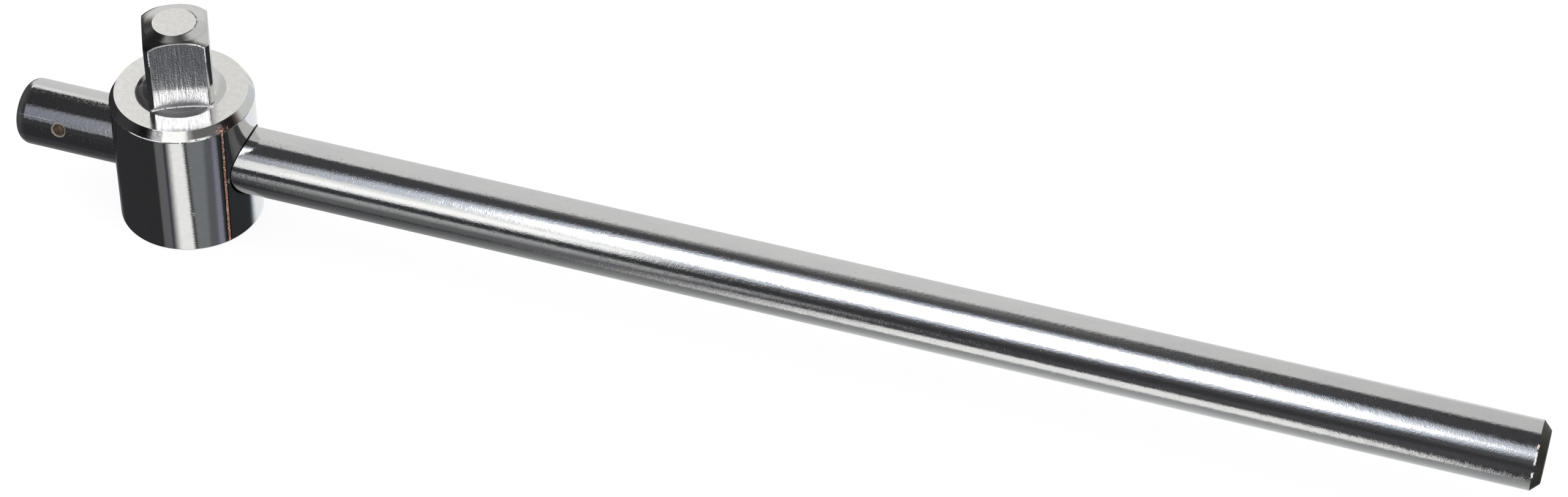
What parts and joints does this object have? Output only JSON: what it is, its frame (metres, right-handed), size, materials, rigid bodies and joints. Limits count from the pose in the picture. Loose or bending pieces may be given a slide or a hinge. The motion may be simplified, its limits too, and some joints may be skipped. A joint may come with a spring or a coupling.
{
  "type": "sliding t-handle",
  "caption": "Square drive on a round head, with a round bar that slides through the head and is kept in it by a sprung ball near each end.",
  "frame": {"origin": "on the drive's axis, in the plane of the head's top face, where the square drive starts", "axes": "+Z along the drive towards its tip, +X along the bar towards its long end, +Y towards the back"},
  "size_m": [0.305, 0.0284, 0.0463],
  "materials": {
    "head_chrome": "polished chrome plate, with ground flats on the drive",
    "bar_chrome": "chrome plate over a lightly pebbled bar",
    "ball_steel": "polished ball steel",
    "stained_ball": "bare steel stained brown",
    "spring_steel": "drawn spring wire",
    "plug_steel": "turned steel"
  },
  "bodies": {
    "head": {"drive_head": "head_chrome", "spring_plug": "plug_steel", "friction_spring": "spring_steel", "socket_ball_spring": "spring_steel"},
    "bar": {"slide_bar": "bar_chrome", "near_stop_spring": "spring_steel", "far_stop_spring": "spring_steel"},
    "socket_catch": {"socket_ball": "ball_steel"},
    "friction_catch": {"friction_ball": "ball_steel"},
    "near_stop": {"near_stop_ball": "stained_ball"},
    "far_stop": {"far_stop_ball": "stained_ball"}
  },
  "joints": [
    {"name": "bar_slide", "type": "slide", "parent": "head", "child": "bar", "axis": [1, 0, 0], "range_m": [-0.2472, 0.0114]},
    {"name": "socket_ball_press", "type": "slide", "parent": "head", "child": "socket_catch", "axis": [0.4384, -0.8988, 0], "range_m": [0, 0.0008], "stiffness_N_per_m": 3000, "deforming": ["socket_ball_spring"]},
    {"name": "friction_ball_press", "type": "slide", "parent": "head", "child": "friction_catch", "axis": [0, 0, -1], "range_m": [0, 0.0005], "stiffness_N_per_m": 4000, "deforming": ["friction_spring"]},
    {"name": "near_stop_press", "type": "slide", "parent": "bar", "child": "near_stop", "axis": [0, 0.9511, -0.309], "range_m": [0, 0.0005], "stiffness_N_per_m": 2000, "deforming": ["near_stop_spring"]},
    {"name": "far_stop_press", "type": "slide", "parent": "bar", "child": "far_stop", "axis": [0, -0.9511, 0.309], "range_m": [0, 0.0005], "stiffness_N_per_m": 2000, "deforming": ["far_stop_spring"]}
  ]
}
